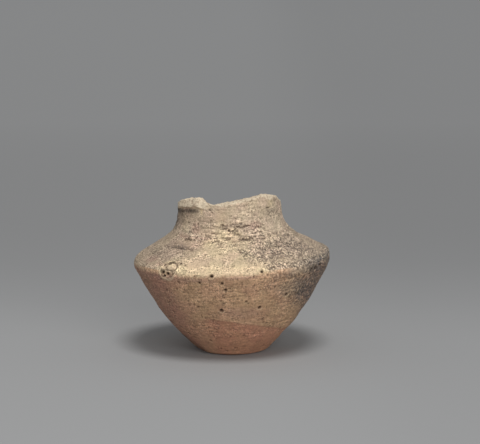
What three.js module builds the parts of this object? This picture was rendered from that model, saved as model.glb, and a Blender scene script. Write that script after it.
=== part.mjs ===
// Small carinated jar of coarse, unglazed earthenware, with its rim broken away.
// It was built from four sections of clay, luted one on the other and fired together: a flat base,
// a flaring lower wall, a sloping shoulder and an upright neck.
// Millimetres, +Z up. The origin lies on the table, below the middle of the widest ring.
// Outlines are given as radius and height. Azimuth is in degrees from the front, which is -Y,
// and grows towards +X.

import * as THREE from 'three';

// Outside of the jar. A slope is the radius gained for each millimetre of height.
const restingRadius = 6.7;
const footRadius = 8.1;
const footEdgeRounding = 0.7;
const footSlope = 0.93;
const wallSlope = 0.5;
const wallRounding = 5.1;
const carinationRadius = 23.4;
const carinationHeight = 22.0;
const carinationRoundingBelow = 1.9;
const carinationRoundingAbove = 1.2;
const shoulderSlope = -1.7;
const neckRadius = 12.1;
const neckRadiusHeight = 31.0;
const neckSlope = -0.05;
const neckRoundingBelow = 2.0;
const neckRoundingAbove = 3.6;

// Thickness of the clay, and how softly the inside turns
const floorThickness = 3.6;
const footWall = 3.0;
const lowerWall = 2.8;
const shoulderWall = 2.6;
const neckWall = 2.5;
const floorCornerRounding = 1.2;
const innerRounding = 1.0;

// Joint between the base and the lower wall
const footJointHeight = 5.2;

// How the upper half sits askew, as the potter's hand left it: it rises towards +X and leans back
const upperTilt = 0.0359;
const upperLean = -0.055;
const tiltClearOfFoot = 0.8;
const tiltClearOfCarination = 4.0;

// The break that took the rim off: azimuth, then the height of its outer and of its inner edge
// above the root of the neck, as shares of the tallest of them. It is highest at the front, where
// the mouth hides what lies behind.
const breakHeight = 8.6;
const breakLine = [
  [-180, 0.35, 0.33],
  [-150, 0.37, 0.37],
  [-120, 0.55, 0.59],
  [-90, 0.68, 0.79],
  [-75, 0.81, 0.87],
  [-60, 0.91, 0.93],
  [-46, 0.95, 0.96],
  [-38, 0.98, 0.94],
  [-28, 0.92, 0.81],
  [-19, 0.84, 0.8],
  [-5, 0.84, 0.86],
  [10, 0.9, 0.91],
  [25, 0.95, 0.94],
  [42, 1, 0.97],
  [58, 0.96, 0.97],
  [70, 0.85, 0.89],
  [82, 0.72, 0.8],
  [120, 0.58, 0.6],
  [150, 0.45, 0.46],
  [180, 0.35, 0.33],
];

// The stub of the lip, which flared out here before it broke: its upright broken face stands out
// from the neck over a short undercut.
const stubAzimuth = -60;
const stubHalfAngle = 38;
const stubFlare = 0.55;
const stubFace = 1.7;
const stubUndercut = 0.5;

// Facets
const stepsRound = 72;
const outerStepsPerCurve = 6;
const innerStepsPerCurve = 4;
const neckRings = 5;

// A straight stretch of outline is kept as the radius it would have at the table, and its slope.
function straight(radius, height, slope) {
  return { atTable: radius - slope * height, slope };
}

function radiusOn(line, height) {
  return line.atTable + line.slope * height;
}

function inward(line, thickness) {
  return { atTable: line.atTable - thickness * Math.hypot(1, line.slope), slope: line.slope };
}

function meet(lower, upper) {
  const height = (upper.atTable - lower.atTable) / (lower.slope - upper.slope);
  return new THREE.Vector2(radiusOn(lower, height), height);
}

// Follows one straight stretch up to a soft turn, and round the turn onto the next stretch.
function turn(path, lower, upper, roundingBelow, roundingAbove) {
  const corner = meet(lower, upper);
  const start = corner.y - roundingBelow;
  const end = corner.y + roundingAbove;
  path.lineTo(radiusOn(lower, start), start);
  path.quadraticCurveTo(corner.x, corner.y, radiusOn(upper, end), end);
}

const foot = straight(footRadius, 0, footSlope);
const shoulder = straight(carinationRadius, carinationHeight, shoulderSlope);
const wall = straight(carinationRadius, carinationHeight, wallSlope);
const neck = straight(neckRadius, neckRadiusHeight, neckSlope);
const innerFoot = inward(foot, footWall);
const innerLowerWall = inward(wall, lowerWall);
const innerShoulder = inward(shoulder, shoulderWall);
const innerNeck = inward(neck, neckWall);

const neckJointHeight = meet(shoulder, neck).y;
const neckTop = neckJointHeight + breakHeight;

function outerOutline() {
  const path = new THREE.Path();
  path.moveTo(0, 0);
  path.lineTo(restingRadius, 0);
  path.quadraticCurveTo(footRadius, 0, radiusOn(foot, footEdgeRounding), footEdgeRounding);
  turn(path, foot, wall, wallRounding, wallRounding);
  turn(path, wall, shoulder, carinationRoundingBelow, carinationRoundingAbove);
  turn(path, shoulder, neck, neckRoundingBelow, neckRoundingAbove);
  path.lineTo(radiusOn(neck, neckTop), neckTop);
  return path.getPoints(outerStepsPerCurve);
}

function innerOutline() {
  const floorCorner = radiusOn(innerFoot, floorThickness);
  const floorTurnTop = floorThickness + floorCornerRounding;
  const path = new THREE.Path();
  path.moveTo(0, floorThickness);
  path.lineTo(floorCorner - floorCornerRounding, floorThickness);
  path.quadraticCurveTo(floorCorner, floorThickness, radiusOn(innerFoot, floorTurnTop), floorTurnTop);
  turn(path, innerFoot, innerLowerWall, wallRounding - floorCornerRounding, wallRounding);
  turn(path, innerLowerWall, innerShoulder, innerRounding, innerRounding);
  turn(path, innerShoulder, innerNeck, innerRounding, neckRoundingBelow);
  path.lineTo(radiusOn(innerNeck, neckTop), neckTop);
  return path.getPoints(innerStepsPerCurve);
}

function radiusAt(outline, height) {
  const above = outline.findIndex((point) => point.y > height);
  const next = above < 0 ? outline.length - 1 : above;
  const low = outline[next - 1];
  const high = outline[next];
  return THREE.MathUtils.mapLinear(height, low.y, high.y, low.x, high.x);
}

// The points of an outline between two heights, with one exactly at each of them.
function stretch(outline, low, high) {
  const clear = 0.05;
  const inside = outline.filter((point) => point.y > low + clear && point.y < high - clear);
  const start = new THREE.Vector2(radiusAt(outline, low), low);
  const end = new THREE.Vector2(radiusAt(outline, high), high);
  return [start, ...inside, end];
}

const outer = outerOutline();
const inner = innerOutline();

// Height of the break above the root of the neck, between the two edges at one azimuth.
function breakAt(azimuth, towardsInside) {
  const next = Math.max(1, breakLine.findIndex(([toAngle]) => toAngle >= azimuth));
  const [fromAngle, fromOuter, fromInner] = breakLine[next - 1];
  const [toAngle, toOuter, toInner] = breakLine[next];
  const along = (azimuth - fromAngle) / (toAngle - fromAngle);
  const outerEdge = THREE.MathUtils.lerp(fromOuter, toOuter, along);
  const innerEdge = THREE.MathUtils.lerp(fromInner, toInner, along);
  return breakHeight * THREE.MathUtils.lerp(outerEdge, innerEdge, towardsInside);
}

// How far the lip's stub stands out at one azimuth: nothing below its undercut, most at the foot
// of its broken face, and nothing again at the break itself.
function stubAt(azimuth, depth) {
  const aside = Math.abs(azimuth - stubAzimuth) / stubHalfAngle;
  const across = 1 - THREE.MathUtils.smoothstep(aside, 0.6, 1);
  const undercut = 1 - THREE.MathUtils.smoothstep(depth, stubFace, stubFace + stubUndercut);
  return stubFlare * across * undercut * Math.min(1, depth / stubFace);
}

function moveVertices(geometry, move) {
  const position = geometry.attributes.position;
  const point = new THREE.Vector3();
  for (let i = 0; i < position.count; i += 1) {
    point.fromBufferAttribute(position, i);
    move(point);
    position.setXYZ(i, point.x, point.y, point.z);
  }
  geometry.computeVertexNormals();
}

// Cuts the neck down to the break: every ring of it slides down its own wall by the same share.
function breakNeck(point) {
  const azimuth = THREE.MathUtils.radToDeg(Math.atan2(point.x, -point.y));
  const radius = Math.hypot(point.x, point.y);
  const outerRadius = radiusAt(outer, point.z);
  const innerRadius = radiusAt(inner, point.z);
  const towardsInside = (outerRadius - radius) / (outerRadius - innerRadius);
  const share = (point.z - neckJointHeight) / breakHeight;
  const rise = breakAt(azimuth, towardsInside);
  const height = neckJointHeight + share * rise;
  const outside = radiusAt(outer, height) + stubAt(azimuth, (1 - share) * breakHeight);
  const newRadius = THREE.MathUtils.lerp(outside, radiusAt(inner, height), towardsInside);
  point.multiplyScalar(newRadius / radius);
  point.z = height;
}

// The tilt sets the carination and all above it askew, and the lean shifts what is above it.
function sitAskew(point) {
  const tiltFrom = footJointHeight + tiltClearOfFoot;
  const tiltTo = carinationHeight - tiltClearOfCarination;
  point.x += upperLean * Math.max(0, point.z - carinationHeight);
  point.z += upperTilt * point.x * THREE.MathUtils.smoothstep(point.z, tiltFrom, tiltTo);
}

function section(name, outline, look, shape) {
  const geometry = new THREE.LatheGeometry(outline, stepsRound);
  geometry.rotateX(Math.PI / 2);
  if (shape) {
    moveVertices(geometry, shape);
  }
  moveVertices(geometry, sitAskew);
  const mesh = new THREE.Mesh(geometry, new THREE.MeshStandardMaterial(look));
  mesh.name = name;
  return mesh;
}

// A section whose outline closes on itself, between two joints.
function ring(name, low, high, look) {
  const outside = stretch(outer, low, high);
  const inside = stretch(inner, low, high).reverse();
  return section(name, [...outside, ...inside, outside[0]], look);
}

function base() {
  const outside = stretch(outer, 0, footJointHeight);
  const inside = stretch(inner, floorThickness, footJointHeight).reverse();
  const underside = new THREE.Vector2(0, 0);
  const floorMiddle = new THREE.Vector2(0, floorThickness);
  const outline = [underside, ...outside, ...inside, floorMiddle];
  return section('base', outline, { color: 0x81644f, roughness: 0.94, metalness: 0 });
}

function lowerBody() {
  const look = { color: 0x97795d, roughness: 0.93, metalness: 0 };
  return ring('lower_wall', footJointHeight, carinationHeight, look);
}

function upperBody() {
  const look = { color: 0xc0a88e, roughness: 0.95, metalness: 0 };
  return ring('shoulder', carinationHeight, neckJointHeight, look);
}

function brokenNeck() {
  const stubFoot = neckTop - stubFace - stubUndercut;
  const heights = [neckTop - stubFace, neckTop - stubFace / 2, neckTop];
  for (let i = neckRings - 1; i >= 0; i -= 1) {
    heights.unshift(THREE.MathUtils.lerp(neckJointHeight, stubFoot, i / (neckRings - 1)));
  }
  const outside = heights.map((height) => new THREE.Vector2(radiusAt(outer, height), height));
  const inside = heights.map((height) => new THREE.Vector2(radiusAt(inner, height), height));
  inside.reverse();
  const look = { color: 0xb09a82, roughness: 0.95, metalness: 0 };
  return section('neck', [...outside, ...inside, outside[0]], look, breakNeck);
}

const jar = new THREE.Group();
jar.add(base(), lowerBody(), upperBody(), brokenNeck());

export default jar;
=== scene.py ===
from math import cos, hypot, radians, sin, tau

import bmesh
import bpy
import numpy as np
from mathutils import Matrix, Vector, noise


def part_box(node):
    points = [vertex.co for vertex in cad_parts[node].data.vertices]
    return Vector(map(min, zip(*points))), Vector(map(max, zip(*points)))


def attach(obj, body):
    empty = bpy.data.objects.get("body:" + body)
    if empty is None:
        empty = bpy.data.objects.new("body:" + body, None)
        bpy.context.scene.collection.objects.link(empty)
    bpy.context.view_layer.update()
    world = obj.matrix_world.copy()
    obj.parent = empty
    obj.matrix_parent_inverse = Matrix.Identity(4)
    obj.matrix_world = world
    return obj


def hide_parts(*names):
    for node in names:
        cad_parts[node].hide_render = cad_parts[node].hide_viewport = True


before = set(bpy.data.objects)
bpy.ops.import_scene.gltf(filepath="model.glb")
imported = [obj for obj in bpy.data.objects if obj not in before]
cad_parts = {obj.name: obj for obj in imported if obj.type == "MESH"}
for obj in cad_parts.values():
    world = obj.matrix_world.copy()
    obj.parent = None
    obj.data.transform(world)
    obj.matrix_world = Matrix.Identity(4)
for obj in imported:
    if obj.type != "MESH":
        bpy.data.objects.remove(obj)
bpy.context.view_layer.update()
mm = 0.001  # the jar is described in millimetres and built in metres
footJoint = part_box("base")[1].z / mm  # level of the joint between base and lower wall
print("frame loaded, foot joint at", round(footJoint, 2), "mm")

# The front is -Y, and an azimuth grows from it towards +X. Slopes are radius for each mm of height.
outside = {
    "restingRadius": 6.7,
    "footRadius": 8.1,
    "footEdge": 0.7,
    "footSlope": 0.93,
    "wallSlope": 0.5,
    "wallRound": 5.1,
    "carinationRadius": 23.4,
    "carinationHeight": 22.0,
    "roundBelow": 1.9,
    "roundAbove": 1.2,
    "shoulderSlope": -1.7,
    "neckRadius": 12.1,
    "neckHeight": 31.0,
    "neckSlope": -0.05,
    "neckRoundBelow": 2.0,
    "neckRoundAbove": 3.6,
}

inside = {
    "floor": 3.6,
    "footWall": 3.0,
    "lowerWall": 2.8,
    "shoulderWall": 2.6,
    "neckWall": 2.5,
    "floorRound": 1.2,
    "turnRound": 1.0,
}

askew = {"tilt": 0.0359, "lean": -0.055, "from": 6.0, "to": 18.0}  # how the upper half leans

# The break: azimuth, then its outer and its inner edge above the root of the neck, as shares of
# the tallest of them
breakHeight = 8.6
breakLine = [
    (-180, 0.35, 0.33),
    (-150, 0.37, 0.37),
    (-120, 0.55, 0.59),
    (-90, 0.68, 0.79),
    (-75, 0.81, 0.87),
    (-60, 0.91, 0.93),
    (-46, 0.95, 0.96),
    (-38, 0.98, 0.94),
    (-28, 0.92, 0.81),
    (-19, 0.84, 0.8),
    (-5, 0.84, 0.86),
    (10, 0.9, 0.91),
    (25, 0.95, 0.94),
    (42, 1, 0.97),
    (58, 0.96, 0.97),
    (70, 0.85, 0.89),
    (82, 0.72, 0.8),
    (120, 0.58, 0.6),
    (150, 0.45, 0.46),
    (180, 0.35, 0.33),
]

# The stub of the flared lip, at the left of the break
stub = {
    "azimuth": -60,
    "halfWidth": 38,
    "flare": 0.55,
    "sides": (0.6, 1),  # shares of the half width between which it fades
    "face": 1.7,
    "undercut": 0.5,
    "fadesTo": 0.2,  # share of the flare that is left round the side
    "fades": (66, 90),
}

grid = {
    "stepsRound": 720,
    "stepsPerTurn": 24,
    "outerRow": 0.21,  # spacing of the rows in mm
    "innerRow": 0.7,
    "breakRow": 0.2,
    "jointRow": 0.9,
    "floorRow": 0.5,
}


def straight(radius, height, slope):
    return (radius - slope * height, slope)


def onLine(line, height):
    return line[0] + line[1] * height


def inward(line, thickness):
    return (line[0] - thickness * hypot(1, line[1]), line[1])


def corner(lower, upper):
    height = (upper[0] - lower[0]) / (lower[1] - upper[1])
    return onLine(lower, height), height


def softTurn(points, start, middle, end):
    for i in range(1, grid["stepsPerTurn"] + 1):
        t = i / grid["stepsPerTurn"]
        radius = (1 - t) ** 2 * start[0] + 2 * t * (1 - t) * middle[0] + t * t * end[0]
        height = (1 - t) ** 2 * start[1] + 2 * t * (1 - t) * middle[1] + t * t * end[1]
        points.append((radius, height))


def turnAt(points, lower, upper, below, above):
    middle = corner(lower, upper)
    start = (onLine(lower, middle[1] - below), middle[1] - below)
    end = (onLine(upper, middle[1] + above), middle[1] + above)
    points.append(start)
    softTurn(points, start, middle, end)


carination = outside["carinationHeight"]
foot = straight(outside["footRadius"], 0, outside["footSlope"])
wall = straight(outside["carinationRadius"], carination, outside["wallSlope"])
shoulder = straight(outside["carinationRadius"], carination, outside["shoulderSlope"])
neck = straight(outside["neckRadius"], outside["neckHeight"], outside["neckSlope"])
innerFoot = inward(foot, inside["footWall"])
innerWall = inward(wall, inside["lowerWall"])
innerShoulder = inward(shoulder, inside["shoulderWall"])
innerNeck = inward(neck, inside["neckWall"])
neckJoint = corner(shoulder, neck)[1]
neckTop = neckJoint + breakHeight


def outerOutline():
    points = [(outside["restingRadius"], 0.0)]
    footTop = (onLine(foot, outside["footEdge"]), outside["footEdge"])
    softTurn(points, points[0], (outside["footRadius"], 0.0), footTop)
    turnAt(points, foot, wall, outside["wallRound"], outside["wallRound"])
    turnAt(points, wall, shoulder, outside["roundBelow"], outside["roundAbove"])
    turnAt(points, shoulder, neck, outside["neckRoundBelow"], outside["neckRoundAbove"])
    points.append((onLine(neck, neckTop), neckTop))
    return np.array(points)


def innerOutline():
    edge = onLine(innerFoot, inside["floor"])
    turnTop = inside["floor"] + inside["floorRound"]
    points = [(edge - inside["floorRound"], inside["floor"])]
    softTurn(points, points[0], (edge, inside["floor"]), (onLine(innerFoot, turnTop), turnTop))
    below = outside["wallRound"] - inside["floorRound"]
    turnAt(points, innerFoot, innerWall, below, outside["wallRound"])
    turnAt(points, innerWall, innerShoulder, inside["turnRound"], inside["turnRound"])
    turnAt(points, innerShoulder, innerNeck, inside["turnRound"], outside["neckRoundBelow"])
    points.append((onLine(innerNeck, neckTop), neckTop))
    return np.array(points)


outer = outerOutline()
inner = innerOutline()


def radiusAt(outline, height):
    return np.interp(height, outline[:, 1], outline[:, 0])


def slopeAt(height):  # radius that the outside gains for each mm of height
    step = 0.05
    return (radiusAt(outer, height + step) - radiusAt(outer, height - step)) / (2 * step)


def rows(outline, low, high, spacing):  # points along the outline, evenly spaced by length
    between = outline[(outline[:, 1] > low) & (outline[:, 1] < high)]
    line = np.vstack([(radiusAt(outline, low), low), between, (radiusAt(outline, high), high)])
    along = np.concatenate([[0], np.cumsum(np.hypot(*np.diff(line, axis=0).T))])
    at = np.linspace(0, along[-1], max(2, round(along[-1] / spacing)) + 1)
    return list(zip(np.interp(at, along, line[:, 0]), np.interp(at, along, line[:, 1])))


def across(start, end, spacing):  # points between two others, in a straight line
    count = max(2, round(hypot(end[0] - start[0], end[1] - start[1]) / spacing))
    steps = [i / count for i in range(1, count)]
    return [(start[0] + (end[0] - start[0]) * t, start[1] + (end[1] - start[1]) * t) for t in steps]


def smooth(value, low, high):
    t = np.clip((value - low) / (high - low), 0, 1)
    return t * t * (3 - 2 * t)


def wander(points, size, shift):  # soft noise from -1 to 1 at each point, a new one for each shift
    return np.array([noise.noise(p) for p in (points / size + shift * 17.3).tolist()])


def turned(azimuth, towards):  # degrees from one azimuth to another, the short way round
    return (azimuth - towards + 180) % 360 - 180


def aside(azimuth, towards):
    return np.abs(turned(azimuth, towards))


def onRing(radius, azimuth, height):
    angle = np.radians(azimuth)
    return np.stack([radius * np.sin(angle), -radius * np.cos(angle), height], -1)


def distance(place, azimuth, height):  # from a spot on the outside of the turned jar
    return np.linalg.norm(place - onRing(radiusAt(outer, height), azimuth, height), axis=1)


def oval(azimuth, height, centre, level, wide, tall):  # 1 on the edge of an oval mark on the wall
    sideways = np.radians(turned(azimuth, centre)) * radiusAt(outer, level)
    return np.hypot(sideways / wide, (height - level) * hypot(1, slopeAt(level)) / tall)


# Pits that the photograph shows: azimuth, height, width, depth
pits = [
    (-44.3, 21.8, 0.8, 0.8),
    (-40.6, 21.5, 0.66, 0.65),
    (-43, 22.6, 0.3, 0.3),
    (-42.6, 20.8, 0.45, 0.4),
    (-11.6, 21.4, 0.62, 0.7),
    (-19.1, 19.7, 0.42, 0.45),
    (-5.6, 19.6, 0.48, 0.45),
    (-3.7, 18.0, 0.5, 0.5),
    (-7.2, 12.7, 0.62, 0.55),
    (-44.7, 17.2, 0.5, 0.25),
    (-35.7, 17.9, 0.4, 0.25),
    (-32.7, 19.6, 0.5, 0.22),
    (-33.9, 23.7, 0.45, 0.35),
    (-29.9, 23.4, 0.35, 0.25),
    (-44.6, 27.9, 0.5, 0.3),
    (-23.9, 4.1, 0.5, 0.25),
    (37.5, 15.6, 0.55, 0.6),
    (19.2, 13.2, 0.55, 0.5),
    (9.4, 14.9, 0.4, 0.3),
    (17.5, 22.0, 0.5, 0.4),
    (62.3, 21.0, 0.66, 0.9),
    (56.8, 20.7, 0.66, 0.8),
    (53, 20.7, 0.5, 0.4),
    (52.4, 19.7, 0.5, 0.35),
    (59, 6.2, 0.45, 0.4),
    (26, 9.2, 0.35, 0.2),
    (11.8, 5.8, 0.4, 0.2),
    (-7.4, 31.1, 0.45, 0.3),
    (-1, 30.0, 0.5, 0.35),
    (32.1, 30.3, 0.4, 0.3),
]

# Grooves that the wheel dragged: azimuth from and to, height, width, depth
grooves = [
    (7.0, 21.5, 28.0, 0.32, 0.3),
    (30.0, 43.0, 26.1, 0.2, 0.16),
    (-50.0, -38.0, 27.8, 0.28, 0.26),
    (-56.0, -40.0, 26.2, 0.3, 0.2),
    (45.0, 52.0, 34.2, 0.2, 0.3),
    (-14.0, -2.0, 30.4, 0.14, 0.12),
    (-8.0, 9.0, 29.9, 0.14, 0.14),
    (-22.0, -6.0, 29.3, 0.14, 0.12),
    (14.0, 30.0, 30.0, 0.14, 0.12),
    (-12.0, 2.0, 28.4, 0.14, 0.12),
    (-30.0, -12.0, 27.5, 0.16, 0.1),
    (-40.0, -30.0, 26.2, 0.26, 0.14),
    (100.0, 125.0, 28.2, 0.2, 0.16),
    (-150.0, -120.0, 27.0, 0.18, 0.14),
    (160.0, 185.0, 30.0, 0.16, 0.12),
]

# Where the hand-made wall stands out or falls in: azimuth, height, half angle, half height, push
pushes = [
    (-90, 33.6, 30, 2.0, -0.25),
    (-85, 13.0, 35, 4.0, -0.27),
    (-85, 20.4, 30, 2.0, 0.15),
    (105, 25.9, 40, 1.6, -0.42),
    (105, 23.6, 35, 1.2, -0.2),
    (97, 22.7, 30, 0.8, 0.4),
    (95, 21.2, 30, 0.7, -0.2),
    (85, 18.3, 35, 3.4, 0.24),
    (85, 9.6, 35, 2.4, -0.25),
    (85, 4.9, 30, 1.8, -0.25),
    (20, 13.0, 30, 5.0, 0.12),
    (-25, 9.5, 24, 3.0, -0.12),
    (150, 16.0, 45, 6.0, -0.3),
    (-140, 12.0, 40, 5.0, 0.25),
]

# Flats that a knife left on the foot: azimuth, height, depth of the cut, dip below the level
scrapes = [
    (-65, 2.7, 0.22, 48.8),
    (38, 3.2, 0.12, 45),
    (108, 3.0, 0.3, 47),
    (160, 3.6, 0.25, 45),
    (-150, 2.6, 0.35, 48),
]

# Humps and notches on the break: azimuth, half angle, rise
breakBumps = [(-88, 9, -0.35), (-65, 7, 0.06), (-52, 5, -0.12), (-38, 7, 0.25), (66, 10, 0.15)]

# Chips out of its outer edge: azimuth, half angle, drop, depth
chips = [
    (53, 11, 1.3, 0.3),
    (-31, 3, 1.7, 0.2),
    (-24, 5, 0.5, 0.2),
    (30, 3, 0.6, 0.25),
    (8, 4, 0.35, 0.2),
    (95, 9, 1.1, 0.4),
    (131, 6, 0.8, 0.3),
    (172, 12, 1.4, 0.4),
    (-140, 8, 1.0, 0.35),
    (-112, 5, 0.7, 0.3),
]

# A shallow crater where a grain of lime burst, with a loose flake in its upper right
scar = {
    "azimuth": -40.2,
    "height": 22.5,
    "radius": 2.3,
    "depth": 0.24,
    "side": 0.4,  # width of its sloping side
    "ragged": 0.3,
    "raggedSize": 1.1,
    "rim": 0.1,
    "rimAt": 0.15,  # mm outside its edge
    "rimFade": (0.1, 0.4),
    "crackAt": 0.14,  # mm inside its edge
    "crackFade": (0.04, 0.2),
}
flake = {
    "azimuth": -39.0,
    "height": 23.0,
    "wide": 1.5,
    "tall": 1.1,
    "raised": 0.1,
    "raisedFade": (0.7, 1),
    "groove": 0.2,
    "grooveAt": 1.15,  # as a share of the flake's own size
    "grooveFade": (0.04, 0.2),
}

# Depths and heights of the wear in mm, and the size of each of its patterns
wear = {
    "wobble": 0.16,  # slow unevenness of the hand-turned wall
    "wobbleSize": 14.0,
    "lump": 0.05,
    "lumpSize": 2.6,
    "ridge": 0.03,  # marks of wiping round the jar
    "ridgeSize": 0.55,
    "ridgeStretch": 0.09,  # a ridge runs on round the jar, so it changes this much slower sideways
    "scored": 0.1,  # deeper scoring round the root of the neck
    "scoredBottom": (25.5, 27.5),
    "scoredTop": (30.5, 32.5),
    "scoredSize": 3.5,
    "scoredPatchy": (-0.35, 0.2),
    "innerRidge": 0.14,  # finger ridges inside
    "innerRidgeSize": 1.6,
    "innerRidgeStretch": 0.04,
    "breakRough": 0.16,
    "breakRoughSize": 1.5,
    "breakRoughFrom": 0.55,  # share of the neck's height at which the roughness begins
    "breakGrain": 0.13,
    "breakGrainSize": 0.5,
    "breakRing": 12.0,  # radius at which the pattern of the break is read
    "chipRagged": 0.15,
    "clearOfTable": 1.2,  # the unevenness fades out over this height, so that the jar stands flat
    "scrapedBelow": 9,  # the knife's flats stay below this height
    "seed": 11,
}

# Where the hollow, the dark core of painted shade and the pale lip of painted highlight of a pit fade, as
# shares of its width
pitShape = {
    "hollow": (0.25, 1),
    "core": (0.4, 0.98),
    "lipAt": 1.15,
    "lip": (0.05, 0.3),
    "lipHeight": 0.04,  # in mm
    "darkFrom": 0.4,  # depth in mm from which the core is fully dark
    "reachUp": 1.0,  # mm up and down, and degrees round the jar, within which its marks lie
    "reachRound": 7,
}

# Where a groove fades along its length and across its width, how its line wanders, and how dark its
# painted shade gets
grooveShape = {
    "along": (0.6, 1),
    "across": (0.2, 1),
    "wander": 0.15,
    "wanderSize": 2.0,
    "darkness": 2.6,  # for each mm of depth
    "darkest": 0.8,
    "reachUp": 0.6,
}

smallPit = {
    "count": 420,
    "lowest": 1.0,
    "belowTop": 2,
    "spacing": 0.05,  # between the heights that they may have, along the outline
    "width": (0.18, 0.42),
    "depth": (0.06, 0.26),
}

# Short scores and holes that coarse grains dragged round the root of the neck
stroke = {
    "count": 70,
    "azimuth": (4, 14),  # middle and spread
    "halfAngle": (1.0, 5.5),
    "height": (27.4, 31.4),
    "width": (0.1, 0.2),
    "depth": (0.12, 0.3),
}


def smallPits():
    random = np.random.default_rng(wear["seed"])
    count = smallPit["count"]
    highest = neckTop - smallPit["belowTop"]
    along = rows(outer, smallPit["lowest"], highest, smallPit["spacing"])
    chosen = random.integers(0, len(along), count)
    azimuths = random.uniform(-180, 180, count)
    widths = random.uniform(*smallPit["width"], count)
    depths = random.uniform(*smallPit["depth"], count)
    return [(a, along[i][1], w, d) for a, i, w, d in zip(azimuths, chosen, widths, depths)]


def strokes():
    random = np.random.default_rng(wear["seed"] + 1)
    scores = []
    for _ in range(stroke["count"]):
        middle = random.normal(*stroke["azimuth"])
        halfAngle = random.uniform(*stroke["halfAngle"])
        level = random.uniform(*stroke["height"])
        width = random.uniform(*stroke["width"])
        depth = random.uniform(*stroke["depth"])
        scores.append((middle - halfAngle, middle + halfAngle, level, width, depth))
    return scores


allPits = pits + smallPits()
allGrooves = grooves + strokes()


def markPits(at, marks):  # each pit is a hollow with a dark core of painted shade and a pale lip of painted highlight below it
    for centre, level, width, deep in allPits:
        nearby = np.abs(at["height"] - level) < pitShape["reachUp"]
        nearby &= aside(at["azimuth"], centre) < pitShape["reachRound"]
        zone = np.flatnonzero(at["isOuter"] & nearby)
        away = distance(at["place"][zone], centre, level) / width
        hollow = 1 - smooth(away, *pitShape["hollow"])
        core = 1 - smooth(away, *pitShape["core"])
        lip = 1 - smooth(np.abs(away - pitShape["lipAt"]), *pitShape["lip"])
        lip *= smooth(level - at["height"][zone], 0, 0.3 * width)
        pressed = np.minimum(marks["move"][zone], -deep * hollow)
        marks["move"][zone] = pressed + pitShape["lipHeight"] * lip
        dark = core * min(1.0, deep / pitShape["darkFrom"])
        marks["dirtAndShade"][zone] = np.maximum(marks["dirtAndShade"][zone], dark)
        marks["rimHighlight"][zone] = np.maximum(marks["rimHighlight"][zone], lip * min(0.7, 1.2 * deep))


def markGrooves(at, marks):
    for start, end, level, width, deep in allGrooves:
        fromMiddle = aside(at["azimuth"], (start + end) / 2) / ((end - start) / 2)
        nearby = (np.abs(at["height"] - level) < grooveShape["reachUp"]) & (fromMiddle < 1)
        zone = np.flatnonzero(at["isOuter"] & nearby)
        wavy = level + grooveShape["wander"] * wander(at["place"][zone], grooveShape["wanderSize"], 6)
        fromLine = np.abs(at["height"][zone] - wavy) / width
        mark = 1 - smooth(fromMiddle[zone], *grooveShape["along"])
        mark *= 1 - smooth(fromLine, *grooveShape["across"])
        marks["move"][zone] = np.minimum(marks["move"][zone], -deep * mark)
        # painted shade in the groove, darker the deeper it is
        dark = min(grooveShape["darkest"], grooveShape["darkness"] * deep) * mark
        marks["dirtAndShade"][zone] = np.maximum(marks["dirtAndShade"][zone], dark)


def markScar(at, marks):
    place, isOuter = at["place"], at["isOuter"]
    uneven = scar["ragged"] * wander(place, scar["raggedSize"], 12)
    fromEdge = distance(place, scar["azimuth"], scar["height"]) + uneven - scar["radius"]
    crater = 1 - smooth(fromEdge, -scar["side"], 0)
    rim = 1 - smooth(np.abs(fromEdge - scar["rimAt"]), *scar["rimFade"])
    crack = 1 - smooth(np.abs(fromEdge + scar["crackAt"]), *scar["crackFade"])
    flakeOval = (flake["azimuth"], flake["height"], flake["wide"], flake["tall"])
    fromFlake = oval(at["azimuth"], at["height"], *flakeOval) + 0.4 * uneven
    raised = 1 - smooth(fromFlake, *flake["raisedFade"])
    groove = 1 - smooth(np.abs(fromFlake - flake["grooveAt"]), *flake["grooveFade"])

    bowl = crater * (scar["depth"] + 0.5 * uneven) * (1 - raised)
    move = rim * scar["rim"] - bowl + raised * flake["raised"] - groove * flake["groove"]
    # patchy darkening inside the crater
    craterDarkening = 0.4 * crater * (1 - raised) * smooth(wander(place, 0.5, 15), -0.1, 0.4)
    # painted shade in the crack inside the crater's edge and in the groove round the flake
    lines = np.maximum(0.85 * groove, 0.75 * crack) * smooth(wander(place, 0.8, 16), -0.45, 0.1)
    marks["move"] += move * isOuter
    marks["dirtAndShade"] = np.maximum(marks["dirtAndShade"], np.maximum(lines, craterDarkening) * isOuter)
    # painted highlight on the crater's raised rim and on the raised flake
    marks["rimHighlight"] = np.maximum(marks["rimHighlight"], np.maximum(0.9 * rim, 0.8 * raised) * isOuter)


def scoredAt(place, height):
    patchy = smooth(wander(place, wear["scoredSize"], 13), *wear["scoredPatchy"])
    return smooth(height, *wear["scoredBottom"]) * (1 - smooth(height, *wear["scoredTop"])) * patchy


def breakAt(azimuth, share):  # height of the break above the root of the neck
    table = np.array(breakLine)
    outerEdge = np.interp(azimuth, table[:, 0], table[:, 1])
    innerEdge = np.interp(azimuth, table[:, 0], table[:, 2])
    rise = breakHeight * (outerEdge + (innerEdge - outerEdge) * share)
    for centre, halfAngle, bump in breakBumps:
        rise = rise + bump * (1 - smooth(aside(azimuth, centre) / halfAngle, 0, 1))
    return rise


def chipped(azimuth, below):  # how deep the outer edge is chipped, at a depth below the break
    depth = np.zeros(len(azimuth))
    for centre, halfAngle, drop, deep in chips:
        reach = drop * (1 - (turned(azimuth, centre) / halfAngle) ** 2)
        depth = np.maximum(depth, deep * np.clip((reach - below) / drop, 0, 1))
    return depth


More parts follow.
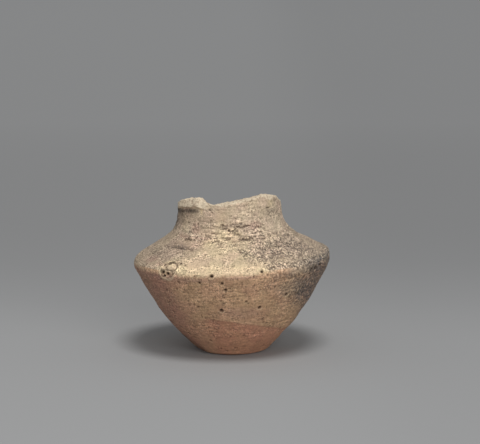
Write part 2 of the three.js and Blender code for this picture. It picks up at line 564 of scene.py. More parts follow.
def stubAt(azimuth, depth):  # how far the stub of the lip stands out
    fromMiddle = aside(azimuth, stub["azimuth"]) / stub["halfWidth"]
    flare = stub["flare"] * (1 - smooth(fromMiddle, *stub["sides"]))
    flare *= 1 - (1 - stub["fadesTo"]) * smooth(-azimuth, *stub["fades"])
    flare *= 1 - smooth(depth, stub["face"], stub["face"] + stub["undercut"])
    return flare * np.minimum(1, depth / stub["face"])


def breakOff(azimuth, height, share):  # slides every ring of the neck down its wall to the break
    up = (height - neckJoint) / breakHeight
    grain = onRing(wear["breakRing"], azimuth, share * inside["neckWall"])
    rough = wander(grain, wear["breakRoughSize"], 1) * wear["breakRough"]
    rough += wander(grain, wear["breakGrainSize"], 2) * wear["breakGrain"]
    rise = breakAt(azimuth, share) + rough * smooth(up, wear["breakRoughFrom"], 1)
    height = neckJoint + up * rise
    belowBreak = rise * (1 - up)
    outerRadius = radiusAt(outer, height) + stubAt(azimuth, (1 - up) * breakHeight)
    outerRadius -= chipped(azimuth, belowBreak + wear["chipRagged"] * rough)
    radius = outerRadius + (radiusAt(inner, height) - outerRadius) * share
    return radius, height, belowBreak


def roughen(at, move):  # moves the wall along its own normal
    place, height, share = at["place"], at["height"], at["share"]
    clearOfTable = smooth(height, 0.0, wear["clearOfTable"])
    flow = place * (wear["ridgeStretch"], wear["ridgeStretch"], 1)
    innerFlow = place * (wear["innerRidgeStretch"], wear["innerRidgeStretch"], 1)
    ridge = wear["ridge"] + wear["scored"] * scoredAt(place, height)
    outerMove = wander(place, wear["wobbleSize"], 3) * wear["wobble"]
    outerMove += wander(place, wear["lumpSize"], 4) * wear["lump"]
    outerMove += wander(flow, wear["ridgeSize"], 5) * ridge
    innerMove = wander(innerFlow, wear["innerRidgeSize"], 7) * wear["innerRidge"]
    slope = slopeAt(height)
    shift = (outerMove * (1 - share) + innerMove * share) * clearOfTable + move
    shift /= np.hypot(1, slope)
    place += onRing(shift, at["azimuth"], -shift * slope * clearOfTable)


def pushWall(at):
    for centre, level, halfAngle, halfTall, push in pushes:
        reach = 1 - smooth(aside(at["azimuth"], centre) / halfAngle, 0, 1)
        reach *= 1 - smooth(np.abs(at["height"] - level) / halfTall, 0, 1)
        at["place"] += onRing(push * reach, at["azimuth"], 0 * reach)


def scrapeFoot(at):
    for centre, level, depth, dip in scrapes:
        facing = onRing(cos(radians(dip)), centre, -sin(radians(dip)))
        spot = onRing(radiusAt(outer, level), centre, level)
        beyond = (at["place"] - spot) @ facing + depth
        beyond *= (at["share"] < 0.5) & (at["height"] > 0.001) & (at["height"] < wear["scrapedBelow"])
        at["place"] -= np.outer(np.maximum(0, beyond), facing)


def sitAskew(place):
    level = place[:, 2].copy()
    place[:, 0] += askew["lean"] * np.maximum(0, level - carination)
    place[:, 2] += askew["tilt"] * place[:, 0] * smooth(level, askew["from"], askew["to"])


def weather(bm, isNeck):  # moves every vertex from the turned shape to the worn and broken one
    co = np.array([v.co[:] for v in bm.verts])
    radius = np.hypot(co[:, 0], co[:, 1])
    height = co[:, 2].copy()
    azimuth = np.degrees(np.arctan2(co[:, 0], -co[:, 1]))
    outerRadius = radiusAt(outer, height)
    innerRadius = np.where(height < inside["floor"] - 0.001, 0, radiusAt(inner, height))
    share = np.clip((outerRadius - radius) / (outerRadius - innerRadius), 0, 1)  # 0 outside, 1 inside
    belowBreak = np.full(len(co), 99.0)
    if isNeck:
        radius, height, belowBreak = breakOff(azimuth, height, share)

    at = {"azimuth": azimuth, "height": height, "share": share, "belowBreak": belowBreak}
    at["place"] = onRing(radius, azimuth, height)
    at["isOuter"] = share < 0.0001
    marks = {name: np.zeros(len(co)) for name in ("move", "dirtAndShade", "rimHighlight")}
    markPits(at, marks)
    markGrooves(at, marks)
    markScar(at, marks)
    roughen(at, marks["move"])
    pushWall(at)
    scrapeFoot(at)
    sitAskew(at["place"])
    for vertex, spot in zip(bm.verts, (at["place"] * mm).tolist()):
        vertex.co = spot
    return {**at, **marks}


# Zones of colour. Round the jar a zone is full near its azimuth and gone further off, in degrees,
# and it fades in and out over the heights of its bottom and its top, in mm. The pale shoulder, the
# ash and the scored part of the coarse zone are counted from the azimuth of the pale band. The pale
# band and the pale shoulder are paler clay with a painted highlight on it, strongest towards the
# front where the light falls.
fireCloud = {
    "azimuth": 84,
    "full": 22,
    "gone": 50,
    "ragged": 12,
    "raggedSize": 5.0,
    "bottom": (8, 17),
    "raggedBottom": 1.5,
    "sag": 5,  # how much lower it reaches at its middle
    "sagFrom": (50, 84),
    "top": (22, 24),
    "above": 0.25,  # share of it that goes on above its top
}
purpleSide = {
    "azimuth": -67,
    "full": 18,
    "gone": 44,
    "ragged": 6,
    "raggedSize": 5.0,
    "top": (20.5, 21.5),
}
paleAndLitBand = {"azimuth": -8, "full": 20, "gone": 50, "bottom": (20.6, 22.0), "top": (22.8, 24.6)}
paleAndLitShoulder = {"full": 8, "gone": 34, "bottom": (23.5, 26.0), "top": (29.0, 31.5), "strength": 0.45}
ashGrey = {"none": 42, "full": 68, "bottom": (20.8, 21.9), "thinner": (22, 24), "top": (27, 29.5)}
# painted shade along the wall just below the carination's crest, where it turns under the light
shadeUnderCrest = {
    "azimuth": -45,
    "full": 20,
    "gone": 40,
    "bottom": (19.4, 20.4),
    "top": (20.7, 21.9),
    "strength": 0.35,
}

# Where the grain shows more: in the smoke and painted shade between two azimuths, and in the scoring near
# the front
coarse = {"smokeAndShade": 1.6, "from": (-50, -15), "to": (80, 110), "scored": 0.6, "full": 40, "gone": 60}

# How the edges of the zones and stains fray
fray = {
    "size": 3.0,
    "degrees": 5,
    "stain": 0.35,  # as a share of the stain's own size
    "fineSize": 0.9,
    "fineHeight": 0.5,
    "rise": 0.4,  # the lower edge of the pale band lies this much higher on the right
    "riseFrom": (5, 25),
}
stainFade = (0.3, 1.2)  # a stain fades between these shares of its size

# Edge of the red zone round the foot: azimuth and height, and the azimuths between which it is crisp
redLine = [(-90, 6.0), (-40, 8.0), (-18, 10.2), (-5, 9.9), (11, 9.0), (32, 7.8), (56, 6.2), (90, 5.6)]
redFoot = {
    "crispFrom": (-30, -12),
    "crispTo": (60, 85),
    "crispBlur": 0.15,
    "blur": 1.8,  # how much more it blurs where it isn't crisp
    "faint": 0.35,  # its strength there
    "ragged": 0.25,
    "lineBelow": 0.1,  # the dark line lies this far below its edge
    "lineFade": (0.05, 0.35),
}

# Stains of each tone, and patches of painted shade: azimuth, height, half width and half height in mm,
# strength
stainsAndShade = {
    "ash": [(49, 21.6, 9.0, 2.2, 0.85), (42, 17.5, 6.0, 3.0, 0.4)],
    "smokeAndShade": [
        (-42.8, 29.2, 1.7, 1.2, 0.8),  # left of the neck's root
        # partly smoke, partly painted shade on the left of the shoulder
        (-46, 26.3, 3.4, 1.2, 1.0),
        (-60, 26.2, 3.5, 2.6, 0.5),
        (-58, 24.8, 7.0, 3.0, 0.55),
        (-29, 26, 2.0, 1.0, 0.35),
        (-90, 25.5, 7.0, 3.5, 0.35),
        (33, 29.3, 2.2, 1.8, 0.5),  # right of the neck's root
        (53, 28.8, 1.8, 1.2, 0.4),
        (14, 28, 1.2, 0.6, 0.5),
        (45, 26, 1.8, 1.2, 0.45),
        (31, 25.4, 3.4, 1.8, 0.55),  # right half of the shoulder
        (20, 25.6, 4.5, 2.4, 0.65),
        (46, 26.4, 9.0, 3.6, 0.5),
        (52, 25.2, 7.0, 3.0, 0.55),
        (42, 24.6, 8.0, 2.4, 0.55),
        (62, 24.3, 5.0, 2.2, 0.6),
        (15, 24.6, 3.4, 1.8, 0.35),
        (23, 24.3, 2.6, 2.2, 0.6),
        (20, 23.4, 4.0, 1.2, 0.3),
        (28, 22.9, 3.2, 1.2, 0.5),
        (28, 22.7, 5.0, 1.2, 0.45),
        (48, 22.2, 5.5, 1.6, 0.65),  # on the carination and below it
        (40, 22, 2.2, 1.2, 0.6),
        (33, 20.6, 4.0, 0.8, 0.5),
        (52, 20.4, 3.4, 1.0, 0.45),
        (38, 18.6, 9.0, 3.4, 0.35),
        (48, 14.5, 8.0, 4.0, 0.35),
        (-66, 16.0, 6.0, 5.0, 0.2),
        (-74, 33.3, 4.0, 1.1, 0.9),  # painted shade under the stub of the lip and on the left of the neck
        (-84, 31.6, 5.0, 3.6, 0.6),
        (-86, 31, 3.5, 3.5, 0.5),
        (-48, 34.1, 3.0, 0.6, 0.7),
        (-18.5, 34.5, 1.6, 0.6, 0.35),  # on the neck
        (24, 33.7, 1.6, 1.2, 0.2),
        (50, 32.0, 6.0, 2.6, 0.25),
        (8, 30.0, 6.0, 2.4, 0.25),
        (150, 24.5, 7.0, 4.0, 0.6),  # at the back
        (-165, 13, 6.0, 5.0, 0.5),
    ],
    # painted shade: under the overhang of the lip's stub, and on the knife facet of the foot that turns
    # away from the light
    "paintedShade": [
        (-76, 3.6, 1.6, 2.2, 0.7),
        (-94, 32.2, 3.4, 4.0, 0.9),
        (-76, 33.6, 3.0, 0.9, 0.8),
        (-58, 33.9, 3.0, 0.45, 0.6),
        (-43, 34.2, 2.0, 0.5, 0.75),
    ],
    "rustAndShade": [
        (-61, 23.6, 3.4, 1.6, 0.6),
        (-49, 23.2, 2.6, 1.0, 0.4),
        (-38, 30.2, 1.8, 1.6, 0.6),
        (-33, 28.3, 5.0, 0.3, 0.45),
        (-40, 27.0, 4.0, 2.2, 0.35),
        (-52, 28.5, 2.5, 1.0, 0.4),
        (29, 30.6, 2.6, 0.9, 0.5),
        (6, 12.0, 4.5, 2.0, 0.3),
        (-20, 20.2, 5.0, 0.8, 0.35),
        (5, 20.9, 6.0, 0.6, 0.5),
        (120, 15, 6.0, 4.0, 0.5),
    ],
    "creamAndHighlight": [
        (-20.5, 27.4, 1.6, 1.2, 0.8),
        (0, 29, 3.4, 2.2, 0.6),
        (-8, 32.7, 1.6, 2.4, 0.3),
        (-31, 34.3, 0.5, 1.2, 0.8),
        (53, 35.4, 1.6, 1.4, 0.6),
        (71, 22.3, 2.4, 1.2, 0.7),
        (53, 23.1, 1.6, 0.7, 0.6),
        (-5, 24.6, 9.0, 2.2, 0.4),
        (-30, 24.2, 5.0, 1.6, 0.35),
        (-140, 23, 9.0, 1.6, 0.6),
    ],
}


def sector(azimuth, zone, pattern=0):  # 1 in the middle of a zone round the jar, and 0 beyond it
    away = aside(azimuth, zone["azimuth"]) + zone.get("ragged", 0) * pattern
    return 1 - smooth(away, zone["full"], zone["gone"])


def belt(zone, lower, upper):  # 1 between the bottom and the top of a zone
    return smooth(lower, *zone["bottom"]) * (1 - smooth(upper, *zone["top"]))


def zoneTones(at, spot, ragged, fromFront):  # the tones that fade in slowly, before any stain
    azimuth, height = at["azimuth"], at["height"]
    fire = sector(azimuth, fireCloud, wander(spot, fireCloud["raggedSize"], 8))
    sagging = height + fireCloud["sag"] * smooth(azimuth, *fireCloud["sagFrom"])
    fire *= smooth(sagging + fireCloud["raggedBottom"] * ragged, *fireCloud["bottom"])
    fire *= 1 - (1 - fireCloud["above"]) * smooth(height, *fireCloud["top"])
    purple = sector(azimuth, purpleSide, wander(spot, purpleSide["raggedSize"], 14))
    purple *= 1 - smooth(height, *purpleSide["top"])

    frayed = height + fray["fineHeight"] * wander(spot, fray["fineSize"], 15)
    frayed -= fray["rise"] * smooth(azimuth, *fray["riseFrom"])
    # paler clay with a painted highlight on it, on the carination and the shoulder towards the front
    band = belt(paleAndLitBand, frayed, height)
    band *= 1 - smooth(fromFront, paleAndLitBand["full"], paleAndLitBand["gone"])
    pale = paleAndLitShoulder["strength"] * belt(paleAndLitShoulder, height, height)
    pale *= 1 - smooth(fromFront, paleAndLitShoulder["full"], paleAndLitShoulder["gone"])
    ash = smooth(frayed, *ashGrey["bottom"]) - 0.5 * smooth(height, *ashGrey["thinner"])
    ash -= 0.5 * smooth(height, *ashGrey["top"])
    ash *= smooth(fromFront, ashGrey["none"], ashGrey["full"])
    # painted shade below the crest
    rustAndShade = shadeUnderCrest["strength"] * belt(shadeUnderCrest, frayed, frayed) * sector(azimuth, shadeUnderCrest)
    # paler clay, and painted highlight on the front of the carination and shoulder and on the lips of
    # pits
    creamAndHighlight = np.maximum(np.maximum(band, pale), at["rimHighlight"])
    return {"fire": fire, "purple": purple, "creamAndHighlight": creamAndHighlight, "ash": ash, "rustAndShade": rustAndShade}


def redTones(at, ragged):  # the red zone round the foot, and the dark line along its crisp edge
    azimuth, height = at["azimuth"], at["height"]
    line = np.interp(azimuth, *np.array(redLine).T) + redFoot["ragged"] * ragged
    crisp = smooth(azimuth, *redFoot["crispFrom"]) * (1 - smooth(azimuth, *redFoot["crispTo"]))
    blur = redFoot["crispBlur"] + redFoot["blur"] * (1 - crisp)
    red = 1 - smooth(height, line - blur, line + blur)
    red *= redFoot["faint"] + (1 - redFoot["faint"]) * crisp
    fromLine = np.abs(height - line + redFoot["lineBelow"])
    edge = crisp * (1 - smooth(fromLine, *redFoot["lineFade"])) * (at["share"] < 0.01)
    return {"red": red, "edge": edge}


# Where the pale clay of the break shows, in mm below it and in degrees
freshClay = {
    "edge": (0.22, 0.42),
    "edgeRagged": 0.2,
    "edgeRaggedSize": 0.9,
    "faceSides": (0.85, 1),  # shares of the stub's half width
    "faceRagged": 0.3,
    "faceRaggedSize": 1.2,
    "faceShorter": 0.7,  # how much shorter the stub's pale face gets round the side
    "faceShorterFrom": (62, 84),
    "faceBlur": 0.1,
    "chip": 0.9,
    "chipRagged": 0.1,
    "chipDepth": (0.01, 0.05),
}


def freshBreak(at, spot, ragged):  # pale clay on the break, in its chips and on the stub's face
    below = at["belowBreak"]
    edgeRagged = freshClay["edgeRagged"] * wander(spot, freshClay["edgeRaggedSize"], 17)
    edge = 1 - smooth(below + edgeRagged, *freshClay["edge"])
    chipDepth = chipped(at["azimuth"], below + freshClay["chipRagged"] * ragged)
    chip = freshClay["chip"] * smooth(chipDepth, *freshClay["chipDepth"])
    foot = stub["face"] + freshClay["faceRagged"] * wander(spot, freshClay["faceRaggedSize"], 10)
    foot -= freshClay["faceShorter"] * smooth(-at["azimuth"], *freshClay["faceShorterFrom"])
    face = 1 - smooth(below, foot - freshClay["faceBlur"], foot + freshClay["faceBlur"])
    face *= 1 - smooth(aside(at["azimuth"], stub["azimuth"]) / stub["halfWidth"], *freshClay["faceSides"])
    return np.maximum(np.maximum(edge, chip), face) * (at["share"] < 0.99)


def tones(at, isNeck):  # how much of each tone of clay shows at every vertex, from 0 to 1
    azimuth, height, share = at["azimuth"], at["height"], at["share"]
    nothing = np.zeros(len(height))
    spot = onRing(radiusAt(outer, height), azimuth, height)
    ragged = wander(spot, fray["size"], 9)
    fromFront = np.abs(turned(azimuth, paleAndLitBand["azimuth"]) + fray["degrees"] * ragged)
    shown = {"smokeAndShade": nothing, "paintedShade": nothing, **zoneTones(at, spot, ragged, fromFront)}
    for tone, ovals in stainsAndShade.items():
        for centre, level, wide, tall, strength in ovals:
            away = oval(azimuth, height, centre, level, wide, tall) + fray["stain"] * ragged
            mark = strength * (1 - smooth(away, *stainFade))
            shown[tone] = shown[tone] + mark * (1 - shown[tone])

    shown.update(redTones(at, ragged))
    rough = np.minimum(1, coarse["smokeAndShade"] * shown["smokeAndShade"])
    rough *= smooth(azimuth, *coarse["from"]) * (1 - smooth(azimuth, *coarse["to"]))
    scored = scoredAt(spot, height) * (1 - smooth(fromFront, coarse["full"], coarse["gone"]))
    shown["rough"] = rough + coarse["scored"] * scored
    for tone in shown:
        shown[tone] = shown[tone] * smooth(1 - share, 0.6, 1)
    shown["fresh"] = freshBreak(at, spot, ragged) if isNeck else nothing
    shown["turned"] = height * mm
    shown["inner"] = smooth(share, 0.9, 1)
    shown["dirtAndShade"] = at["dirtAndShade"]
    return shown


def plug(tree, socket, value):  # links a socket, or sets it to a number or a colour
    if isinstance(value, bpy.types.NodeSocket):
        tree.links.new(value, socket)
    elif isinstance(value, (int, float)):
        socket.default_value = value
    else:
        socket.default_value = (*value, 1)


def mix(tree, below, above, share, blend="MIX"):
    node = tree.nodes.new("ShaderNodeMix")
    node.data_type = "RGBA"
    node.blend_type = blend
    node.clamp_factor = True
    plug(tree, node.inputs[0], share)
    plug(tree, node.inputs[6], below)
    plug(tree, node.inputs[7], above)
    return node.outputs[2]


def maths(tree, operation, first, second):
    node = tree.nodes.new("ShaderNodeMath")
    node.operation = operation
    plug(tree, node.inputs[0], first)
    plug(tree, node.inputs[1], second)
    return node.outputs[0]


def ramp(tree, value, low, high, bottom=0.0, top=1.0):  # a soft step from bottom to top
    node = tree.nodes.new("ShaderNodeMapRange")
    node.interpolation_type = "SMOOTHSTEP"
    tree.links.new(value, node.inputs[0])
    for socket, number in zip(node.inputs[1:5], (low, high, bottom, top)):
        socket.default_value = number
    return node.outputs[0]


def noiseAt(tree, where, size, detail, rough):
    node = tree.nodes.new("ShaderNodeTexNoise")
    node.inputs["Scale"].default_value = 1 / (size * mm)
    node.inputs["Detail"].default_value = detail
    node.inputs["Roughness"].default_value = rough
    tree.links.new(where, node.inputs["Vector"])
    return node.outputs["Fac"]


def attribute(tree, name):
    node = tree.nodes.new("ShaderNodeAttribute")
    node.attribute_name = name
    return node.outputs["Fac"]


def objectPlace(tree):  # Object coordinates, whole and as X, Y and Z
    where = tree.nodes.new("ShaderNodeTexCoord").outputs["Object"]
    apart = tree.nodes.new("ShaderNodeSeparateXYZ")
    tree.links.new(where, apart.inputs[0])
    return where, apart.outputs


clayTones = {
    "purple": (0.40, 0.222, 0.152),
    # pale clay, with painted highlight on the front of the carination and shoulder and on the lips of
    # pits
    "creamAndHighlight": (0.70, 0.55, 0.355),
    "red": (0.49, 0.255, 0.16),
    # mauve rust marks, and painted shade below the carination's crest
    "rustAndShade": (0.38, 0.235, 0.185),
    "ash": (0.42, 0.325, 0.225),
    # smoke, and painted shade under the lip and on the left of the shoulder and neck
    "smokeAndShade": (0.20, 0.15, 0.118),
    # painted shade
    "paintedShade": (0.09, 0.07, 0.055),
    "fire": (0.09, 0.079, 0.079),
    "fresh": (0.70, 0.58, 0.42),
    "freshDark": (0.45, 0.33, 0.23),
    # painted shade in pits, grooves and cracks, and dark specks on the break
    "dirtAndShade": (0.035, 0.02, 0.013),
    "fleck": (0.15, 0.095, 0.06),
    "grit": (0.80, 0.68, 0.50),
    "rosy": (1.03, 0.98, 0.99),
    "olive": (0.99, 0.995, 0.95),
    "edge": (0.30, 0.15, 0.09),
    "inner": (0.26, 0.18, 0.125),
}

# Patterns in the clay: size in mm, detail, roughness
patterns = {
    "blotch": (5.0, 4, 0.55),
    "patch": (3.2, 2, 0.55),
    "blush": (4.0, 3, 0.55),
    "mottle": (1.3, 3, 0.55),
    "grain": (0.55, 3, 0.65),
    "sand": (0.25, 1, 0.5),
    "streak": (0.5, 3, 0.6),
}
streakStretch = 0.12  # a streak runs on round the jar, so it changes this much slower sideways
relief = {"grain": 0.7, "sand": 0.3, "streak": 0.5}  # how much each pattern adds to the relief


def clayPatterns(tree):
    where, apart = objectPlace(tree)
    flow = tree.nodes.new("ShaderNodeCombineXYZ")
    for i in (0, 1):
        tree.links.new(maths(tree, "MULTIPLY", apart[i], streakStretch), flow.inputs[i])
    tree.links.new(attribute(tree, "turned"), flow.inputs[2])
    along = {"streak": flow.outputs[0]}
    return {name: noiseAt(tree, along.get(name, where), *sizes) for name, sizes in patterns.items()}


def coarseness(tree, patch, calm):  # some patches are rougher than others
    rough = ramp(tree, patch, 0.38, 0.62, calm, 1.0)
    for tone, gain in (("rough", 0.6), ("fire", 0.8), ("creamAndHighlight", -0.1)):
        rough = maths(tree, "ADD", rough, maths(tree, "MULTIPLY", attribute(tree, tone), gain))
    return maths(tree, "MAXIMUM", maths(tree, "MINIMUM", rough, 1.4), 0.15)


def layered(tree, colour, *names):  # lays tones over the clay where their attributes say
    for name in names:
        colour = mix(tree, colour, clayTones[name], attribute(tree, name))
    return colour


def bodyColour(tree, pattern, look):
    colour = mix(tree, look["low"], look["high"], ramp(tree, pattern["blotch"], 0.35, 0.65))
    colour = layered(tree, colour, "purple", "creamAndHighlight", "rustAndShade", "red")
    tint = mix(tree, clayTones["rosy"], clayTones["olive"], ramp(tree, pattern["blush"], 0.36, 0.64))
    colour = mix(tree, colour, tint, 1.0, "MULTIPLY")
    return layered(tree, colour, "ash")


def smokedAndShadedColour(tree, pattern, colour):  # smoke, with painted shade, and fire darken the clay between its pale grains, and the darkest painted shade goes on whole
    between = ramp(tree, pattern["grain"], 0.38, 0.6, 1.0, 0.3)
    smokeAndShade = maths(tree, "MULTIPLY", attribute(tree, "smokeAndShade"), between)
    colour = mix(tree, colour, clayTones["smokeAndShade"], smokeAndShade)
    # painted shade under the lip and on the foot's facet, laid on whole
    colour = layered(tree, colour, "paintedShade")
    fire = ramp(tree, pattern["grain"], 0.46, 0.64, 1.0, 0.45)
    fire = maths(tree, "MULTIPLY", fire, ramp(tree, pattern["mottle"], 0.3, 0.6, 0.75, 1.0))
    fire = maths(tree, "MULTIPLY", fire, attribute(tree, "fire"))
    return mix(tree, colour, clayTones["fire"], fire)


def grainedColour(tree, pattern, colour, look):
    rough = coarseness(tree, pattern["patch"], look["calm"])
    for name in ("mottle", "streak", "grain", "sand"):
        swing = ramp(tree, pattern[name], 0.3, 0.7, -look[name], look[name])
        gain = maths(tree, "ADD", maths(tree, "MULTIPLY", swing, rough), 1.0)
        colour = mix(tree, colour, gain, 1.0, "MULTIPLY")
    fleck = maths(tree, "MULTIPLY", ramp(tree, pattern["grain"], 0.42, 0.3, 0.0, look["fleck"]), rough)
    colour = mix(tree, colour, clayTones["fleck"], fleck)
    grit = maths(tree, "MULTIPLY", ramp(tree, pattern["sand"], 0.6, 0.68, 0.0, look["grit"]), rough)
    return mix(tree, colour, clayTones["grit"], grit)


def freshColour(tree, pattern, colour):  # the edge of the red zone, the inside, the break, and the dark marks in pits, grooves and cracks, which are painted shade
    edge = maths(tree, "MULTIPLY", attribute(tree, "edge"), 0.5)
    colour = mix(tree, colour, clayTones["edge"], edge)
    colour = layered(tree, colour, "inner")
    dark = ramp(tree, pattern["grain"], 0.52, 0.34)
    fresh = mix(tree, clayTones["fresh"], clayTones["freshDark"], dark)
    specks = ramp(tree, pattern["sand"], 0.36, 0.28, 0.0, 0.6)
    fresh = mix(tree, fresh, clayTones["dirtAndShade"], specks)
    colour = mix(tree, colour, fresh, attribute(tree, "fresh"))
    # painted shade in pits, grooves and cracks, and darkening in the crater
    return layered(tree, colour, "dirtAndShade")


def clayMaterial(name, look):
    material = bpy.data.materials.new(name)
    material.use_nodes = True
    tree = material.node_tree
    shader = tree.nodes["Principled BSDF"]
    pattern = clayPatterns(tree)
    colour = bodyColour(tree, pattern, look)
    colour = smokedAndShadedColour(tree, pattern, colour)
    colour = grainedColour(tree, pattern, colour, look)
    colour = freshColour(tree, pattern, colour)
    tree.links.new(colour, shader.inputs["Base Color"])
    tree.links.new(ramp(tree, pattern["mottle"], 0.3, 0.7, 0.82, 0.96), shader.inputs["Roughness"])
    shader.inputs["Specular IOR Level"].default_value = 0.3

    raised = 0.0
    for patternName, gain in relief.items():
        raised = maths(tree, "ADD", maths(tree, "MULTIPLY", pattern[patternName], gain), raised)
    bump = tree.nodes.new("ShaderNodeBump")
    bump.inputs["Strength"].default_value = 1.0
    bump.inputs["Distance"].default_value = look["relief"] * mm
    tree.links.new(raised, bump.inputs["Height"])
    tree.links.new(bump.outputs[0], shader.inputs["Normal"])
    return material


# Each section's two shades of clay, how calm its calmest patches are, how strongly each pattern
# shows in it, and its relief in mm
looks = {
    "base": {
        "low": (0.50, 0.31, 0.19),
        "high": (0.55, 0.345, 0.215),
        "calm": 0.6,
        "mottle": 0.12,
        "streak": 0.08,
        "grain": 0.16,
        "sand": 0.1,
        "fleck": 0.3,
        "grit": 0.1,
        "relief": 0.16,
    },
    "lower_wall": {
        "low": (0.47, 0.29, 0.175),
        "high": (0.56, 0.355, 0.215),
        "calm": 0.5,
        "mottle": 0.12,
        "streak": 0.2,
        "grain": 0.32,
        "sand": 0.26,
        "fleck": 0.7,
        "grit": 0.3,
        "relief": 0.26,
    },
    "shoulder": {
        "low": (0.415, 0.315, 0.228),
        "high": (0.48, 0.372, 0.265),
        "calm": 0.3,
        "mottle": 0.16,
        "streak": 0.2,
        "grain": 0.45,
        "sand": 0.5,
        "fleck": 0.7,
        "grit": 0.5,
        "relief": 0.36,
    },
    "neck": {
        "low": (0.51, 0.395, 0.285),
        "high": (0.60, 0.475, 0.345),
        "calm": 0.35,
        "mottle": 0.12,
        "streak": 0.18,
        "grain": 0.34,
        "sand": 0.24,
        "fleck": 0.6,
        "grit": 0.35,
        "relief": 0.24,
    },
}

slots = {"base": "foot_clay", "lower_wall": "wiped_clay", "shoulder": "worn_clay", "neck": "neck_clay"}
joints = {
    "base": (0, footJoint),
    "lower_wall": (footJoint, carination),
    "shoulder": (carination, neckJoint),
    "neck": (neckJoint, neckTop),
}


def sectionOutline(name):  # the loop that is spun into one section, and its corners at the joints
    low, high = joints[name]
    outerRows = rows(outer, low, high, grid["outerRow"])
    innerRows = rows(inner, max(low, inside["floor"]), high, grid["innerRow"])
    topRow = grid["breakRow"] if name == "neck" else grid["jointRow"]
    loop = outerRows + across(outerRows[-1], innerRows[-1], topRow) + innerRows[::-1]
    if name == "base":
        floorMiddle, underside = (0, inside["floor"]), (0, 0)
        loop += across(innerRows[0], floorMiddle, grid["floorRow"]) + [floorMiddle]
        loop = [underside] + across(underside, outerRows[0], grid["floorRow"]) + loop
    else:
        loop += across(innerRows[0], outerRows[0], grid["jointRow"])
    ends = [row[i] for row in (outerRows, innerRows) for i in (0, -1)]
    return loop, [end for end in ends if end[1] in (footJoint, carination, neckJoint)]


def spinSection(loop, isClosed):
    bm = bmesh.new()
    verts = [bm.verts.new((radius, 0, height)) for radius, height in loop]
    edges = [bm.edges.new(pair) for pair in zip(verts, verts[1:])]
    if isClosed:
        edges.append(bm.edges.new((verts[-1], verts[0])))
    axis, middle, steps = (0, 0, 1), (0, 0, 0), grid["stepsRound"] // 8
    bmesh.ops.spin(bm, geom=verts + edges, cent=middle, axis=axis, angle=tau / 8, steps=steps)
    for angle in (tau / 8, tau / 4, tau / 2):  # an eighth of the way round, doubled three times
        copied = bmesh.ops.duplicate(bm, geom=bm.verts[:] + bm.edges[:] + bm.faces[:])["geom"]
        copiedVerts = [item for item in copied if isinstance(item, bmesh.types.BMVert)]
        bmesh.ops.rotate(bm, verts=copiedVerts, cent=middle, matrix=Matrix.Rotation(angle, 3, "Z"))
    bmesh.ops.remove_doubles(bm, verts=bm.verts[:], dist=0.0001)
    bmesh.ops.recalc_face_normals(bm, faces=bm.faces[:])
    return bm


def sharpenJoints(bm, corners):  # the joint's hidden face doesn't pull at the shading outside it
    bm.verts.index_update()
    near = 0.01
    onCorner = set()
    for vertex in bm.verts:
        radius = hypot(vertex.co.x, vertex.co.y)
        if any(hypot(radius - spot[0], vertex.co.z - spot[1]) < near for spot in corners):
            onCorner.add(vertex.index)
    for edge in bm.edges:
        if all(vertex.index in onCorner for vertex in edge.verts):
            edge.smooth = False


def makePiece(name):
    loop, corners = sectionOutline(name)
    bm = spinSection(loop, name != "base")
    sharpenJoints(bm, corners)
    shown = tones(weather(bm, name == "neck"), name == "neck")
    data = bpy.data.meshes.new(name + "_clay")
    bm.to_mesh(data)
    bm.free()
    data.polygons.foreach_set("use_smooth", [True] * len(data.polygons))
    for tone, values in shown.items():
        data.attributes.new(tone, "FLOAT", "POINT").data.foreach_set("value", values.astype(np.float32))
    data.materials.append(clayMaterial(slots[name], looks[name]))
    piece = bpy.data.objects.new("worn_" + name, data)
    bpy.context.collection.objects.link(piece)
    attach(piece, "root")
    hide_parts(name)
    print(name, len(data.polygons) * 2, "triangles")


for pieceName in joints:
    makePiece(pieceName)

# The floor's grey from front to back is painted light and shade, as a paper that curves up behind would
# show it under the lamps
ground = {
    "radius": 3.0,
    "front": -0.1,
    "back": 1.0,
    "horizon": 0.24,
    "dimFrom": (0.0, 0.05),  # painted shade: the right side is a little dimmer
    "dimTo": 0.94,
    "shades": [
        (0.0, 0.345),
        (0.1, 0.34),
        (0.14, 0.305),
        (0.19, 0.265),
        (0.27, 0.262),
        (0.45, 0.29),
        (1.0, 0.41),
    ],
}


def groundPaper():
    material = bpy.data.materials.new("ground_paper")
    material.use_nodes = True
    tree = material.node_tree
    shader = tree.nodes["Principled BSDF"]
    apart = objectPlace(tree)[1]
    away = tree.nodes.new("ShaderNodeMapRange")
    tree.links.new(apart[1], away.inputs[0])
    away.inputs[1].default_value = ground["front"]
    away.inputs[2].default_value = ground["back"]
    shades = tree.nodes.new("ShaderNodeValToRGB")
    shades.color_ramp.interpolation = "B_SPLINE"
    for place, shade in ground["shades"][1:-1]:
        shades.color_ramp.elements.new(place)
    for element, (place, shade) in zip(shades.color_ramp.elements, ground["shades"]):
        element.position = place
        element.color = (shade, shade, shade, 1)
    tree.links.new(away.outputs[0], shades.inputs[0])
    sideways = ramp(tree, apart[0], *ground["dimFrom"], 1.0, ground["dimTo"])
    tree.links.new(mix(tree, shades.outputs[0], sideways, 1.0, "MULTIPLY"), shader.inputs["Base Color"])
    shader.inputs["Roughness"].default_value = 1.0
    shader.inputs["Specular IOR Level"].default_value = 0.0
    return material


def makeFloor():
    bm = bmesh.new()
    bmesh.ops.create_circle(bm, cap_ends=True, radius=ground["radius"], segments=128)
    data = bpy.data.meshes.new("ground")
    bm.to_mesh(data)
    bm.free()
    data.materials.append(groundPaper())
    floor = bpy.data.objects.new("ground", data)
    bpy.context.collection.objects.link(floor)


makeFloor()

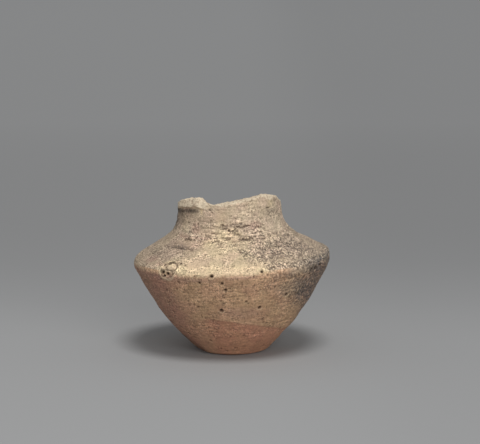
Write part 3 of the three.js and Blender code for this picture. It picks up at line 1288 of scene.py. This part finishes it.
lights = {
    "keyTowards": (0.1, -0.39, 0.915),
    "keyDistance": 2.0,
    "keySize": 0.7,
    "keyPower": 21.2,
    "fillTowards": (0.33, -0.90, 0.28),
    "fillDistance": 1.6,
    "fillSize": 1.2,
    "fillPower": 10.7,
    "aimHeight": 0.02,
    "sky": (0.36, 0.368, 0.376),
}


def areaLight(name):
    data = bpy.data.lights.new(name, "AREA")
    data.shape = "DISK"
    data.size = lights[name + "Size"]
    data.energy = lights[name + "Power"]
    light = bpy.data.objects.new(name, data)
    direction = Vector(lights[name + "Towards"]).normalized()
    light.location = direction * lights[name + "Distance"] + Vector((0, 0, lights["aimHeight"]))
    light.rotation_euler = direction.to_track_quat("Z", "Y").to_euler()
    bpy.context.collection.objects.link(light)


areaLight("key")
areaLight("fill")

world = bpy.data.worlds.new("studio")
bpy.context.scene.world = world
world.use_nodes = True
sky = world.node_tree.nodes["Background"]
path = world.node_tree.nodes.new("ShaderNodeLightPath")
horizon = (ground["horizon"],) * 3  # what the camera sees in place of the sky
behind = mix(world.node_tree, lights["sky"], horizon, path.outputs["Is Camera Ray"])
world.node_tree.links.new(behind, sky.inputs["Color"])
sky.inputs["Strength"].default_value = 1.0

# The photograph's camera: degrees above the table, metres, and the scale at the jar
photo = {
    "elevation": 9.8,
    "distance": 0.6,
    "aimX": 0.00188,
    "aimZ": 0.02978,
    "pixelsPerMm": 4.322,
    "pixelsWide": 480,
}
camera = bpy.data.objects.new("camera", bpy.data.cameras.new("camera"))
camera.data.sensor_width = 36
seenWidth = photo["pixelsWide"] / photo["pixelsPerMm"] * mm
camera.data.lens = camera.data.sensor_width * photo["distance"] / seenWidth
camera.data.clip_start = 0.01
camera.data.clip_end = 20
elevation = radians(photo["elevation"])
back = Vector((0, -cos(elevation), sin(elevation)))
camera.location = Vector((photo["aimX"], 0, photo["aimZ"])) + back * photo["distance"]
camera.rotation_euler = (radians(90 - photo["elevation"]), 0, 0)
bpy.context.collection.objects.link(camera)
bpy.context.scene.camera = camera
bpy.context.scene.view_settings.view_transform = "Standard"
print("stage, lights and camera made")
